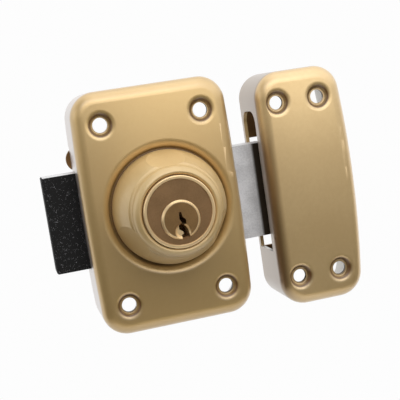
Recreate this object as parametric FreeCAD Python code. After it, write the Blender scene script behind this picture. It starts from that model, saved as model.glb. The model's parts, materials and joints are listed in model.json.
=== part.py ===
import FreeCAD, Part

import math
import os

# Security rim deadbolt: a lock case with a sliding bolt, worked by a round knob, and its keeper.
# Millimetres. X is the way the bolt is thrown, Z is up, and the door's face is the plane Y = 0.
# The fronts face -Y, and the origin is where the knob's axis meets the door's face.

# Case shell
case_width = 50.3
case_height = 79.5
case_depth = 22.0
case_sheet = 1.2
case_corner_radius = 8.5
case_edge_radius = 4.0
case_side_bow = 0.9
case_centre_x = -1.5
case_centre_z = 0.45

# Case screw holes, each at the bottom of a dish pressed into the front
case_holes_across = 32.9
case_holes_up = 58.8
case_hole_radius = 2.4
hole_dish_mouth = 5.0
hole_dish_floor = 2.6
hole_dish_depth = 1.5
hole_dish_lip = 2.3

# Dish round the knob
knob_dish_mouth = 22.2
knob_dish_floor = 19.0
knob_dish_depth = 2.0
knob_dish_lip = 3.2

# Back plate
back_plate_thickness = 1.5
back_plate_gap = 0.15
back_plate_half_height = 24.5
back_plate_tongue_half_width = 8.5
lug_height = 8.5
lug_reach = 1.3
lug_centre_z = 18.8
lug_slot_gap = 0.2

# Bolt
bolt_height = 32.0
bolt_thickness = 9.3
bolt_centre_z = -1.0
bolt_tail_x = -38.5
bolt_nose_x = 38.0
bolt_back_gap = 0.5
bolt_throw = 13.5
bolt_edge = 0.4
bolt_slot_gap = 0.35

# Rack and pinion
pinion_teeth = 9
tooth_pitch = 3.0
tooth_width = 1.25
tooth_addendum = 0.75
tooth_dedendum = 1.1
pinion_tip_width = 0.6
pinion_foot_width = 1.2
rack_tip_width = 0.7
rack_foot_width = 1.8
rack_end_room = 0.5
pinion_side_gap = 0.3

# Shafts and fits
running_gap = 0.08
face_gap = 0.15
rear_journal_radius = 3.0
rear_journal_setback = 0.2
front_journal_radius = 4.6
bar_slot_height = 4.6
bar_slot_width = 1.8
bar_slot_depth = 6.0
drive_square = 6.0
drive_square_length = 1.7

# Bearing plate in front of the bolt, with the collar that the knob's lock engages
bearing_plate_thickness = 1.2
bearing_plate_margin = 4.0
bearing_plate_half_width = 21.0
collar_radius = 16.2
collar_height = 3.4
collar_notch_width = 5.2
collar_notch_depth = 1.8

# Posts that guide the bolt's edges and carry the bearing plate
post_radius = 2.5
post_spread = 17.0
post_rivet_radius = 1.4
post_rivet_depth = 1.0
plate_screw_radius = 1.2
plate_screw_head_radius = 2.2
plate_screw_head_height = 1.3
plate_screw_length = 6.0

# Brake spring that bears on the bolt's upper edge
brake_spring_thickness = 0.4
brake_spring_width = 5.0
brake_spring_half_length = 20.0

# Pillars that hold the back plate in the shell
pillar_radius = 2.6
pillar_inset = 7.25
pillar_screw_radius = 1.2
pillar_screw_head_radius = 2.2
pillar_screw_length = 7.0

# Knob
knob_height = 16.6
knob_base_radius = 18.7
knob_base_gap = 0.35
knob_flank_radius = 15.1
knob_flank_height = 12.0
knob_flank_bulge = 0.8
knob_collar_radius = 14.2
knob_collar_height = 13.5
knob_crease = 0.25
knob_lip_radius = 12.5
knob_edge = 0.5
knob_mouth_gap = 0.3
knob_mouth_round = 0.8
knob_sleeve_radius = 12.9
knob_flats = 3
knob_flat_foot = 1.2
knob_flat_undercut = 0.4

# Circlip and washer behind the shell
circlip_radius = 15.0
circlip_thickness = 0.8
circlip_groove_depth = 0.6
circlip_opening = 9.0
washer_radius = 15.6
washer_thickness = 0.3

# Cylinder held in the knob
cylinder_head_radius = 11.3
cylinder_head_height = 3.0
cylinder_body_radius = 10.8
cylinder_rise = 0.7
cylinder_rim_width = 0.9
cylinder_face_recess = 0.35
cylinder_rim_chamfer = 0.3
cylinder_fit_gap = 0.12

# Plug
plug_drop = 2.4
plug_radius = 5.6
plug_head_radius = 6.15
plug_head_height = 1.1
plug_rise = 0.35
plug_rim_chamfer = 0.55
keyway_bottom_flare = 2.1
keyway_mouth_radius = 2.6
keyway_mouth_depth = 0.9
keyway_mouth_drop = 3.5

# Pin chambers
pin_count = 5
pin_spacing = 3.4
first_pin_setback = 4.0
pin_radius = 1.3
pin_bore_gap = 0.06
key_pin_foot = 1.2
driver_pin_length = 2.2
spring_wall = 0.3
cover_strip_width = 3.0
cover_strip_thickness = 0.8
cover_strip_inset = 1.2

# Plug cam and the locking bolt that it works
cam_radius = 6.9
cam_thickness = 1.0
crank_offset = 2.6
crank_radius = 0.9
crank_length = 1.2
crank_slot_gap = 0.12
locker_thickness = 1.3
locker_half_width = 4.8
locker_tip_half_width = 2.2
locker_shoulder_drop = 6.0
locker_setback = 0.15
locker_wall = 1.3
cam_screw_radius = 0.9
cam_screw_head_radius = 1.6
cam_screw_length = 5.0

# Hub between the cylinder and the pinion
hub_radius = 12.6
hub_thickness = 3.3
hub_screw_offset = 8.3
hub_screw_height = 1.2
hub_screw_radius = 1.1
hub_screw_head_radius = 1.9
hub_screw_head_height = 1.2
hub_screw_length = 7.0

# Keeper
keeper_width = 28.6
keeper_height = 79.4
keeper_centre_x = 48.6
keeper_drop = 2.2
keeper_far_side_bow = 2.4
keeper_holes_across = 14.4
keeper_holes_up = 59.0
keeper_hole_radius = 2.25
keeper_holes_shift = -0.5
keeper_plate_thickness = 1.2
mouth_above_bolt = 10.9
mouth_below_bolt = 5.4
mouth_front_margin = 6.6
mouth_rear_margin = 1.9
mouth_arch_radius = 4.2
plate_cutout_above_bolt = 1.4
plate_cutout_below_bolt = 5.6
keeper_plate_width = 9.0
keeper_plate_web = 3.2

# Places that follow from the sizes above
case_front_y = -case_depth
case_left_x = case_centre_x - case_width / 2
case_right_x = case_centre_x + case_width / 2
pillar_half_spacing = case_height / 2 - pillar_inset
case_holes_x = case_centre_x
case_holes_z = 0.0
bolt_back_y = -back_plate_thickness - bolt_back_gap
bolt_front_y = bolt_back_y - bolt_thickness
bolt_top_z = bolt_centre_z + bolt_height / 2
bolt_bottom_z = bolt_centre_z - bolt_height / 2
bearing_back_y = bolt_front_y - bolt_slot_gap
bearing_front_y = bearing_back_y - bearing_plate_thickness
collar_front_y = bearing_front_y - collar_height
hub_back_y = bearing_front_y - face_gap
hub_front_y = hub_back_y - hub_thickness
cylinder_back_y = hub_front_y
knob_dish_floor_y = case_front_y + knob_dish_depth
knob_base_y = knob_dish_floor_y - knob_base_gap
knob_front_y = knob_base_y - knob_height
cylinder_front_y = knob_front_y - cylinder_rise
plug_front_y = cylinder_front_y - plug_rise
shell_inside_y = knob_dish_floor_y + case_sheet
washer_back_y = shell_inside_y + washer_thickness
pitch_radius = pinion_teeth * tooth_pitch / (2 * math.pi)
pinion_tip_radius = pitch_radius + tooth_addendum
pinion_root_radius = pitch_radius - tooth_dedendum
window_half_length = bolt_throw + pinion_tip_radius + rack_end_room
post_places = [
    (case_centre_x + side * post_spread, edge_z + side_z * (post_radius + running_gap))
    for side in (-1, 1)
    for side_z, edge_z in ((1, bolt_top_z), (-1, bolt_bottom_z))
]
shear_radius = plug_radius + running_gap
lock_travel = crank_offset
keeper_centre_z = case_centre_z - keeper_drop
keeper_holes_x = keeper_centre_x + keeper_holes_shift
keeper_left_x = keeper_centre_x - keeper_width / 2


def point(x, y, z):
    return FreeCAD.Vector(x, y, z)


def box(x0, x1, y0, y1, z0, z1):
    return Part.makeBox(x1 - x0, y1 - y0, z1 - z0, point(x0, y0, z0))


def rod(x, z, radius, y0, y1):
    return Part.makeCylinder(radius, y1 - y0, point(x, y0, z), point(0, 1, 0))


def tube(x, z, outer_radius, inner_radius, y0, y1):
    return rod(x, z, outer_radius, y0, y1).cut(rod(x, z, inner_radius, y0, y1))


def upright_rod(x, y, radius, z0, z1):
    return Part.makeCylinder(radius, z1 - z0, point(x, y, z0), point(0, 0, 1))


def prism(outline, y0, y1):
    """A flat outline of (x, z) points, made y0 to y1 thick."""
    corners = [point(x, y0, z) for x, z in outline]
    face = Part.Face(Part.makePolygon(corners + corners[:1]))
    return face.extrude(point(0, y1 - y0, 0))


def turned(edges, x=0.0, z=0.0):
    """A solid of revolution about the Y direction through (x, z), from edges drawn as (radius, y).

    Its seam faces up, clear of the rounded sides that a dish can run into.
    """
    face = Part.Face(Part.Wire(edges))
    solid = face.revolve(point(0, 0, 0), point(0, 1, 0), 360)
    solid.rotate(point(0, 0, 0), point(0, 1, 0), -90)
    solid.translate(point(x, 0, z))
    return solid


def line(start, end):
    return Part.LineSegment(point(*start, 0), point(*end, 0)).toShape()


def lines(points):
    return [line(start, end) for start, end in zip(points, points[1:])]


def arc(start, middle, end):
    return Part.Arc(point(*start, 0), point(*middle, 0), point(*end, 0)).toShape()


def join(solids):
    joined = solids[0].multiFuse(solids[1:])
    return joined.removeSplitter()


def write(name, shape):
    shape.exportStep(os.path.join("parts", name + ".step"))


def write_group(name, solids):
    write(name, Part.makeCompound(solids))


def rectangle_places(x, z, across, up):
    return [(x + i * across / 2, z + j * up / 2) for j in (1, -1) for i in (-1, 1)]


def pressed_block(x, z, width, height, depth, corner, edge, right_bow, left_bow=0.0):
    """A block on the door's face with bowed sides, rounded corners and a rounded front edge."""
    left, right = x - width / 2, x + width / 2
    low, high = z - height / 2, z + height / 2
    corners = [point(left, 0, low), point(left, 0, high), point(right, 0, high), point(right, 0, low)]
    sides = []
    for number, bow in enumerate((-left_bow, 0.0, right_bow, 0.0)):
        start, end = corners[number], corners[(number + 1) % len(corners)]
        if bow == 0:
            sides.append(Part.LineSegment(start, end).toShape())
        else:
            sides.append(Part.Arc(start, (start + end) / 2 + point(bow, 0, 0), end).toShape())
    block = Part.Face(Part.Wire(sides)).extrude(point(0, -depth, 0))
    uprights = [e for e in block.Edges if e.BoundBox.YLength > depth / 2 and e.BoundBox.ZLength < edge]
    block = block.makeFillet(corner, uprights)
    front_edges = [e for e in block.Edges if e.BoundBox.YMax < -depth + edge / 2]
    return block.makeFillet(edge, front_edges)


def dish(x, z, mouth, floor, depth, lip, front_y):
    """A round dish sunk in a front at front_y. Its wall is a rounded lip and a rounded foot that meet."""
    sweep = 2 * math.atan2(depth, mouth - floor)
    foot = (mouth - floor) / math.sin(sweep) - lip

    def on_lip(angle):
        return mouth - lip * math.sin(angle), front_y + lip * (1 - math.cos(angle))

    def on_foot(angle):
        return floor + foot * math.sin(angle), front_y + depth - foot * (1 - math.cos(angle))

    clear = front_y - depth
    edges = lines([(0, front_y + depth), (0, clear), (mouth, clear), (mouth, front_y)])
    edges += [arc(on_lip(0), on_lip(sweep / 2), on_lip(sweep))]
    edges += [arc(on_lip(sweep), on_foot(sweep / 2), on_foot(0))]
    edges += [line((floor, front_y + depth), (0, front_y + depth))]
    return turned(edges, x, z)


def pressed_shell(outside, inside, dishes):
    """A pressed sheet shell, where each dish is sunk in the outside and stands out inside."""
    for x, z, mouth, floor, depth, lip in dishes:
        outside = outside.cut(dish(x, z, mouth, floor, depth, lip, case_front_y))
        inside = inside.cut(dish(x, z, mouth, floor, depth, lip - case_sheet, case_front_y + case_sheet))
    return outside.cut(inside)


def screw_dishes(places):
    return [(x, z, hole_dish_mouth, hole_dish_floor, hole_dish_depth, hole_dish_lip) for x, z in places]


def case_shell():
    def block(inset):
        return pressed_block(
            case_centre_x, case_centre_z,
            case_width - 2 * inset, case_height - 2 * inset, case_depth - inset,
            case_corner_radius - inset, case_edge_radius - inset, case_side_bow, case_side_bow)

    holes = rectangle_places(case_holes_x, case_holes_z, case_holes_across, case_holes_up)
    knob_dish = (0.0, 0.0, knob_dish_mouth, knob_dish_floor, knob_dish_depth, knob_dish_lip)
    shell = pressed_shell(block(0.0), block(case_sheet), screw_dishes(holes) + [knob_dish])
    for x, z in holes:
        shell = shell.cut(rod(x, z, case_hole_radius, case_front_y, 0))
    shell = shell.cut(rod(0, 0, knob_sleeve_radius + running_gap, case_front_y, 0))
    bolt_way = box(
        case_left_x - case_edge_radius, case_right_x + case_edge_radius,
        bolt_front_y - bolt_slot_gap, 0,
        bolt_bottom_z - bolt_slot_gap, bolt_top_z + bolt_slot_gap)
    lug_way = box(
        case_left_x - case_edge_radius, case_centre_x,
        -back_plate_thickness - lug_slot_gap, 0,
        lug_centre_z - lug_height / 2 - lug_slot_gap, lug_centre_z + lug_height / 2 + lug_slot_gap)
    return shell.cut(bolt_way).cut(lug_way)


def case_back_plate():
    inset = case_sheet + back_plate_gap
    plate = pressed_block(
        case_centre_x, case_centre_z, case_width - 2 * inset, case_height - 2 * inset, case_depth,
        case_corner_radius - inset, case_edge_radius - inset, case_side_bow, case_side_bow)
    band = box(
        case_left_x - case_depth, case_right_x + case_depth, -back_plate_thickness, 0,
        -back_plate_half_height, back_plate_half_height)
    tongue = box(
        case_centre_x - back_plate_tongue_half_width, case_centre_x + back_plate_tongue_half_width,
        -back_plate_thickness, 0, -case_height, case_height)
    plate = plate.common(join([band, tongue]))
    lug_left = case_left_x - case_side_bow - lug_reach
    lug = rod(lug_left + lug_height / 2, lug_centre_z, lug_height / 2, -back_plate_thickness, 0)
    root = box(
        lug_left + lug_height / 2, case_left_x + lug_height, -back_plate_thickness, 0,
        lug_centre_z - lug_height / 2, lug_centre_z + lug_height / 2)
    plate = join([plate, lug, root])
    for x, z in post_places:
        plate = plate.cut(rod(x, z, post_rivet_radius, -case_depth, 0))
    for z in pillar_heights():
        plate = plate.cut(screw_seat(case_centre_x, z, pillar_screw_radius, pillar_screw_head_radius, 0))
    return plate.cut(rod(0, 0, rear_journal_radius + running_gap, -case_depth, 0))


def pillar_heights():
    return [case_centre_z + side * pillar_half_spacing for side in (1, -1)]


def screw_seat(x, z, radius, head_radius, face_y):
    """The hole and countersink for a flat-headed screw that enters a face at face_y going -Y."""
    hole = rod(x, z, radius + face_gap, face_y - case_depth, face_y)
    sink = Part.makeCone(
        radius, head_radius + face_gap, head_radius - radius, point(x, face_y - head_radius + radius, z),
        point(0, 1, 0))
    return hole.fuse(sink)


def flat_head_screw(x, z, radius, head_radius, length, face_y):
    """A flat-headed screw with a straight slot, its head flush with a face at face_y."""
    head_height = head_radius - radius
    shank = rod(x, z, radius, face_y - length, face_y - head_height)
    head = Part.makeCone(radius, head_radius, head_height, point(x, face_y - head_height, z), point(0, 1, 0))
    slot_half = radius / 3
    slot = box(
        x - head_radius, x + head_radius, face_y - head_height / 2, face_y + head_height,
        z - slot_half, z + slot_half)
    return join([shank, head]).cut(slot)


def raised_head_screw(x, z, radius, head_radius, head_height, length, face_y, way):
    """A pan-headed screw under a face at face_y. way is 1 if the head stands toward +Y, else -1."""
    tip_y = face_y - way * length
    head_y = face_y + way * head_height
    shank = rod(x, z, radius, min(tip_y, face_y), max(tip_y, face_y))
    head = rod(x, z, head_radius, min(face_y, head_y), max(face_y, head_y))
    slot_half = radius / 3
    slot_y = sorted((head_y - way * head_height / 2, head_y + way))
    slot = box(x - head_radius, x + head_radius, *slot_y, z - slot_half, z + slot_half)
    return join([shank, head]).cut(slot)


def back_plate_pillars():
    pillars = []
    for z in pillar_heights():
        pillar = rod(case_centre_x, z, pillar_radius, case_front_y + case_sheet, -back_plate_thickness)
        hole = rod(case_centre_x, z, pillar_screw_radius, -pillar_screw_length - face_gap, 0)
        pillars.append(pillar.cut(hole))
    return pillars


def back_plate_screws():
    return [
        flat_head_screw(
            case_centre_x, z, pillar_screw_radius, pillar_screw_head_radius, pillar_screw_length, 0)
        for z in pillar_heights()
    ]


def guide_posts():
    posts = []
    for x, z in post_places:
        post = rod(x, z, post_radius, bearing_back_y, -back_plate_thickness)
        rivet = rod(x, z, post_rivet_radius, -back_plate_thickness, -back_plate_thickness + post_rivet_depth)
        thread = rod(x, z, plate_screw_radius, bearing_back_y, bearing_front_y + plate_screw_length)
        posts.append(join([post, rivet]).cut(thread))
    return posts


def bearing_plate_screws():
    return [
        raised_head_screw(
            x, z, plate_screw_radius, plate_screw_head_radius, plate_screw_head_height,
            plate_screw_length, bearing_front_y, -1)
        for x, z in post_places
    ]


def bearing_plate():
    top = max(z for x, z in post_places) + bearing_plate_margin
    bottom = min(z for x, z in post_places) - bearing_plate_margin
    plate = box(
        case_centre_x - bearing_plate_half_width, case_centre_x + bearing_plate_half_width,
        bearing_front_y, bearing_back_y, bottom, top)
    corners = [e for e in plate.Edges if e.BoundBox.YLength > bearing_plate_thickness / 2]
    plate = plate.makeFillet(bearing_plate_margin, corners)
    collar_bore = knob_sleeve_radius + face_gap
    collar = tube(0, 0, collar_radius, collar_bore, collar_front_y, bearing_front_y)
    for side in (-1, 1):
        z_range = sorted((0, side * collar_radius))
        notch = box(
            -collar_notch_width / 2, collar_notch_width / 2,
            collar_front_y, collar_front_y + collar_notch_depth + locker_thickness / 2, *z_range)
        collar = collar.cut(notch)
    plate = join([plate, collar])
    for x, z in post_places:
        plate = plate.cut(rod(x, z, plate_screw_radius, bearing_front_y, bearing_back_y))
    return plate.cut(rod(0, 0, front_journal_radius + running_gap, bearing_front_y, bearing_back_y))


def brake_spring():
    """A bowed leaf spring that lies on the bolt's upper edge and under tension over the upper posts."""
    touch_z = bolt_top_z + running_gap
    post_z = bolt_top_z + post_radius + running_gap
    rise = post_z - touch_z
    clear = post_radius + running_gap
    bow_radius = (post_spread ** 2 + rise ** 2 - clear ** 2) / (2 * (rise + clear))
    half_sweep = math.asin(brake_spring_half_length / bow_radius)
    centre_z = touch_z + bow_radius

    def on_bow(radius, angle):
        return point(case_centre_x + radius * math.sin(angle), 0, centre_z - radius * math.cos(angle))

    def bow(radius, way):
        ends = [on_bow(radius, way * side * half_sweep) for side in (-1, 0, 1)]
        return Part.Arc(*ends).toShape()

    inner_radius = bow_radius - brake_spring_thickness

    def end(side, start_radius, end_radius):
        angle = side * half_sweep
        return Part.LineSegment(on_bow(start_radius, angle), on_bow(end_radius, angle)).toShape()

    outline = Part.Wire([
        bow(bow_radius, 1), end(1, bow_radius, inner_radius),
        bow(inner_radius, -1), end(-1, inner_radius, bow_radius),
    ])
    spring = Part.Face(outline).extrude(point(0, brake_spring_width, 0))
    middle_y = (bolt_front_y + bolt_back_y) / 2
    spring.translate(point(0, middle_y - brake_spring_width / 2, 0))
    return spring


def bolt():
    bar = box(bolt_tail_x, bolt_nose_x, bolt_front_y, bolt_back_y, bolt_bottom_z, bolt_top_z)
    ends = [e for e in bar.Edges if e.BoundBox.XLength < bolt_edge]
    bar = bar.makeChamfer(bolt_edge, ends)
    root_z = pitch_radius + tooth_dedendum
    window_low = -pinion_tip_radius - rack_end_room
    bar = bar.cut(box(
        -window_half_length, window_half_length, bolt_front_y, bolt_back_y, window_low, root_z))
    tip_z = pitch_radius - tooth_addendum
    reach = int((window_half_length - tooth_pitch) / tooth_pitch)
    teeth = []
    for number in range(-reach - 1, reach + 1):
        x = (number + 0.5) * tooth_pitch
        outline = [
            (x - rack_foot_width / 2, root_z), (x - tooth_width / 2, pitch_radius),
            (x - rack_tip_width / 2, tip_z), (x + rack_tip_width / 2, tip_z),
            (x + tooth_width / 2, pitch_radius), (x + rack_foot_width / 2, root_z),
        ]
        teeth.append(prism(outline, bolt_front_y, bolt_back_y))
    return join([bar] + teeth)


def drive_pinion():
    front = bolt_front_y + pinion_side_gap
    back = bolt_back_y - pinion_side_gap
    teeth = []
    for number in range(pinion_teeth):
        outline = [
            (-pinion_foot_width / 2, pinion_root_radius - tooth_addendum),
            (-pinion_foot_width / 2, pinion_root_radius),
            (-tooth_width / 2, pitch_radius),
            (-pinion_tip_width / 2, pinion_tip_radius),
            (pinion_tip_width / 2, pinion_tip_radius),
            (tooth_width / 2, pitch_radius),
            (pinion_foot_width / 2, pinion_root_radius),
            (pinion_foot_width / 2, pinion_root_radius - tooth_addendum),
        ]
        tooth = prism(outline, front, back)
        tooth.rotate(point(0, 0, 0), point(0, 1, 0), number * 360 / pinion_teeth)
        teeth.append(tooth)
    square_half = drive_square / 2
    square_end = bearing_front_y - drive_square_length
    pinion = join([
        rod(0, 0, pinion_root_radius, bearing_back_y, back),
        rod(0, 0, rear_journal_radius, back, -rear_journal_setback),
        rod(0, 0, front_journal_radius, bearing_front_y, bearing_back_y),
        box(-square_half, square_half, square_end, bearing_front_y, -square_half, square_half),
    ] + teeth)
    bar_slot = box(
        -bar_slot_width / 2, bar_slot_width / 2, -bar_slot_depth, 0,
        -bar_slot_height / 2, bar_slot_height / 2)
    return pinion.cut(bar_slot)


def knob():
    """The turned knob: sleeve, base edge, conical flank, creased collar and mouth, with finger flats."""
    base_y = knob_base_y
    base_edge, flank_middle, flank = flank_curve()
    collar = (knob_collar_radius, base_y - knob_collar_height)
    lip = (knob_lip_radius, knob_front_y)
    bore = cylinder_head_radius + knob_mouth_gap
    narrow_bore = cylinder_body_radius + cylinder_fit_gap
    step_y = cylinder_front_y + cylinder_head_height
    corner_share = 1 - math.sin(math.pi / 4)
    base_corner = (knob_base_radius - knob_edge * corner_share, base_y - knob_edge * corner_share)
    mouth_middle = (bore + knob_mouth_round * corner_share, knob_front_y + knob_mouth_round * corner_share)
    crease_middle = ((flank[0] + collar[0]) / 2 - knob_crease, (flank[1] + collar[1]) / 2 + knob_crease)
    shoulder_middle = (
        lip[0] + (collar[0] - lip[0]) * math.sin(math.pi / 4),
        collar[1] + (lip[1] - collar[1]) * math.sin(math.pi / 4))
    edges = [
        line((narrow_bore, hub_front_y), (knob_sleeve_radius, hub_front_y)),
        line((knob_sleeve_radius, hub_front_y), (knob_sleeve_radius, base_y)),
        line((knob_sleeve_radius, base_y), (knob_base_radius - knob_edge, base_y)),
        arc((knob_base_radius - knob_edge, base_y), base_corner, base_edge),
        arc(base_edge, flank_middle, flank),
        arc(flank, crease_middle, collar),
        arc(collar, shoulder_middle, lip),
        line(lip, (bore + knob_mouth_round, knob_front_y)),
        arc((bore + knob_mouth_round, knob_front_y), mouth_middle, (bore, knob_front_y + knob_mouth_round)),
        line((bore, knob_front_y + knob_mouth_round), (bore, step_y)),
        line((bore, step_y), (narrow_bore, step_y)),
        line((narrow_bore, step_y), (narrow_bore, hub_front_y)),
    ]
    body = turned(edges)
    groove_y = washer_back_y + running_gap
    groove = tube(
        0, 0, knob_sleeve_radius + circlip_groove_depth, knob_sleeve_radius - circlip_groove_depth,
        groove_y, groove_y + circlip_thickness + running_gap)
    body = body.cut(groove)
    for number in range(knob_flats):
        body = body.cut(finger_flat(360 * number / knob_flats))
    return body


def flank_tilt():
    """The angle between the knob's axis and the straight line that its flank bulges out of."""
    return math.atan2(knob_base_radius - knob_flank_radius, knob_flank_height - knob_edge)


def flank_curve():
    """The flank's two ends, and between them the top of its bulge, as (radius, y)."""
    start = (knob_base_radius, knob_base_y - knob_edge)
    end = (knob_flank_radius, knob_base_y - knob_flank_height)
    middle = (
        (start[0] + end[0]) / 2 + knob_flank_bulge * math.cos(flank_tilt()),
        (start[1] + end[1]) / 2 - knob_flank_bulge * math.sin(flank_tilt()))
    return start, middle, end


def flank_radius(y):
    """The knob's radius on the flank at a place along its axis."""
    start, middle, end = flank_curve()
    half_length = math.hypot(start[0] - end[0], start[1] - end[1]) / 2
    curve_radius = (half_length ** 2 + knob_flank_bulge ** 2) / (2 * knob_flank_bulge)
    centre_r = middle[0] - curve_radius * math.cos(flank_tilt())
    centre_y = middle[1] + curve_radius * math.sin(flank_tilt())
    return centre_r + math.sqrt(curve_radius ** 2 - (y - centre_y) ** 2)


def finger_flat(turn):
    """The stock that one finger flat takes off, from low on the flank to just under the collar."""
    clear = 2 * knob_base_radius
    collar_y = knob_base_y - knob_collar_height
    foot_y = knob_base_y - knob_flat_foot
    section = [
        (collar_y, knob_collar_radius - knob_flat_undercut), (collar_y, clear),
        (foot_y, clear), (foot_y, flank_radius(foot_y)),
    ]
    corners = [point(-clear, y, z) for y, z in section]
    stock = Part.Face(Part.makePolygon(corners + corners[:1])).extrude(point(2 * clear, 0, 0))
    stock.rotate(point(0, 0, 0), point(0, 1, 0), turn)
    return stock


def knob_circlip():
    front = washer_back_y + running_gap
    ring = tube(0, 0, circlip_radius, knob_sleeve_radius - circlip_groove_depth + running_gap,
                front, front + circlip_thickness)
    opening = box(-circlip_opening / 2, circlip_opening / 2, front, front + circlip_thickness,
                  -circlip_radius, 0)
    return ring.cut(opening)


def knob_washer():
    return tube(0, 0, washer_radius, knob_sleeve_radius + running_gap, shell_inside_y, washer_back_y)


def pin_depths():
    return [cylinder_front_y + first_pin_setback + number * pin_spacing for number in range(pin_count)]


def cylinder_body():
    rim_inside = cylinder_head_radius - cylinder_rim_width
    head_back = cylinder_front_y + cylinder_head_height
    chamfer = cylinder_rim_chamfer
    face_y = cylinder_front_y + cylinder_face_recess
    outline = [
        (0, face_y), (rim_inside - chamfer, face_y), (rim_inside, cylinder_front_y),
        (cylinder_head_radius - chamfer, cylinder_front_y),
        (cylinder_head_radius, cylinder_front_y + chamfer),
        (cylinder_head_radius, head_back), (cylinder_body_radius, head_back),
        (cylinder_body_radius, cylinder_back_y), (0, cylinder_back_y), (0, face_y),
    ]
    body = turned(lines(outline))
    head_seat_y = plug_front_y + plug_head_height
    body = body.cut(rod(0, -plug_drop, shear_radius, plug_front_y, cylinder_back_y))
    body = body.cut(rod(0, -plug_drop, plug_head_radius + running_gap, plug_front_y, head_seat_y + face_gap))
    cam_seat_y = cylinder_back_y - cam_thickness - face_gap
    body = body.cut(rod(0, -plug_drop, cam_radius + face_gap, cam_seat_y, cylinder_back_y))
    strip_z = cylinder_body_radius - cover_strip_inset
    for y in pin_depths():
        body = body.cut(upright_rod(0, y, pin_radius + pin_bore_gap, -plug_drop, strip_z + face_gap))
    strip_half = cover_strip_width / 2 + pin_bore_gap
    first, last = strip_range()
    body = body.cut(box(-strip_half, strip_half, first - face_gap, last + face_gap,
                        strip_z, cylinder_head_radius))
    for x, z in hub_screw_places():
        body = body.cut(rod(x, z, hub_screw_radius, hub_screw_tip_y(), cylinder_back_y))
    return body


def strip_range():
    depths = pin_depths()
    first = cylinder_front_y + cylinder_head_height + face_gap + running_gap
    last = depths[-1] + pin_radius + pin_bore_gap
    return first, last


def spring_cover_strip():
    strip_z = cylinder_body_radius - cover_strip_inset
    half = cover_strip_width / 2
    first, last = strip_range()
    return box(-half, half, first, last, strip_z, strip_z + cover_strip_thickness)


def driver_pins():
    base = -plug_drop + shear_radius + running_gap
    return [upright_rod(0, y, pin_radius, base, base + driver_pin_length) for y in pin_depths()]


def pin_springs():
    base = -plug_drop + shear_radius + running_gap + driver_pin_length
    top = cylinder_body_radius - cover_strip_inset
    inner = pin_radius - spring_wall
    springs = []
    for y in pin_depths():
        springs.append(upright_rod(0, y, pin_radius, base, top).cut(upright_rod(0, y, inner, base, top)))
    return springs


def keyway_outline():
    """The stepped keyway, in (x, z) from the plug's axis, open at the bottom of the plug."""
    return [
        (-0.45, 2.4), (0.3, 2.4), (0.5, 0.9), (1.45, -0.1), (1.45, -1.4), (0.8, -1.8),
        (1.45, -2.4), (1.95, -3.8), (keyway_bottom_flare, -plug_head_radius),
        (-0.4, -plug_head_radius), (-0.4, -4.8), (0.3, -4.45), (0.15, -3.75), (-0.95, -3.0),
        (-0.95, -1.5), (0.0, -1.1), (-0.05, -0.7), (-0.6, 0.3),
    ]


def key_plug():
    head_back = plug_front_y + plug_head_height
    chamfer = plug_rim_chamfer
    back = cylinder_back_y - cam_thickness - face_gap
    outline = [
        (0, plug_front_y), (plug_head_radius - chamfer, plug_front_y),
        (plug_head_radius, plug_front_y + chamfer), (plug_head_radius, head_back),
        (plug_radius, head_back), (plug_radius, back), (0, back), (0, plug_front_y),
    ]
    plug = turned(lines(outline), 0, -plug_drop)
    keyway = prism([(x, z - plug_drop) for x, z in keyway_outline()], plug_front_y, last_keyway_y())
    mouth = Part.makeCone(
        keyway_mouth_radius, keyway_mouth_radius - keyway_mouth_depth, keyway_mouth_depth,
        point(0, plug_front_y, -plug_drop - keyway_mouth_drop), point(0, 1, 0))
    plug = plug.cut(keyway).cut(mouth)
    for y in pin_depths():
        plug = plug.cut(upright_rod(0, y, pin_radius + pin_bore_gap, key_pin_foot - plug_drop, plug_radius))
    screw_tip_y = cylinder_back_y - face_gap - cam_screw_length
    return plug.cut(rod(0, -plug_drop, cam_screw_radius, screw_tip_y, cylinder_back_y))


def last_keyway_y():
    return pin_depths()[-1] + pin_radius


def key_pins():
    """Key pins at the shear line, each with a crowned top that follows the plug's round."""
    pins = []
    envelope = rod(0, -plug_drop, plug_radius, cylinder_front_y, cylinder_back_y)
    for y in pin_depths():
        pin = upright_rod(0, y, pin_radius, key_pin_foot - plug_drop, plug_radius)
        pins.append(pin.common(envelope))
    return pins


def plug_cam():
    front = cylinder_back_y - cam_thickness - face_gap
    back = cylinder_back_y - face_gap
    disc = rod(0, -plug_drop, cam_radius, front, back)
    crank = rod(crank_offset, -plug_drop, crank_radius, back, back + crank_length + face_gap)
    cam = join([disc, crank])
    return cam.cut(screw_seat(0, -plug_drop, cam_screw_radius, cam_screw_head_radius, back))


def cam_screw():
    return flat_head_screw(
        0, -plug_drop, cam_screw_radius, cam_screw_head_radius, cam_screw_length, cylinder_back_y - face_gap)


def crank_slot_ends():
    """The crank slot's top and bottom. The crank runs ahead of a steady slide, so the bottom has room."""
    quarter_turn = math.pi / 2
    furthest = math.acos(1 / quarter_turn)
    lead = crank_offset * (math.sin(furthest) - furthest / quarter_turn)
    top = -plug_drop + crank_radius + crank_slot_gap
    bottom = -plug_drop - crank_radius - crank_slot_gap - lead
    return top, bottom


def locking_bolt():
    front = hub_front_y + locker_setback
    back = front + locker_thickness
    top, bottom = crank_slot_ends()
    shoulder_z = -plug_drop - locker_shoulder_drop
    wide = box(-locker_half_width, locker_half_width, front, back, shoulder_z, top + locker_wall)
    tip_z = -math.sqrt((hub_radius - locker_setback) ** 2 - locker_tip_half_width ** 2)
    tip = box(-locker_tip_half_width, locker_tip_half_width, front, back, tip_z, shoulder_z)
    slot = box(
        -crank_radius - crank_slot_gap, crank_offset + crank_radius + crank_slot_gap,
        front, back, bottom, top)
    return join([wide, tip]).cut(slot)


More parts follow.
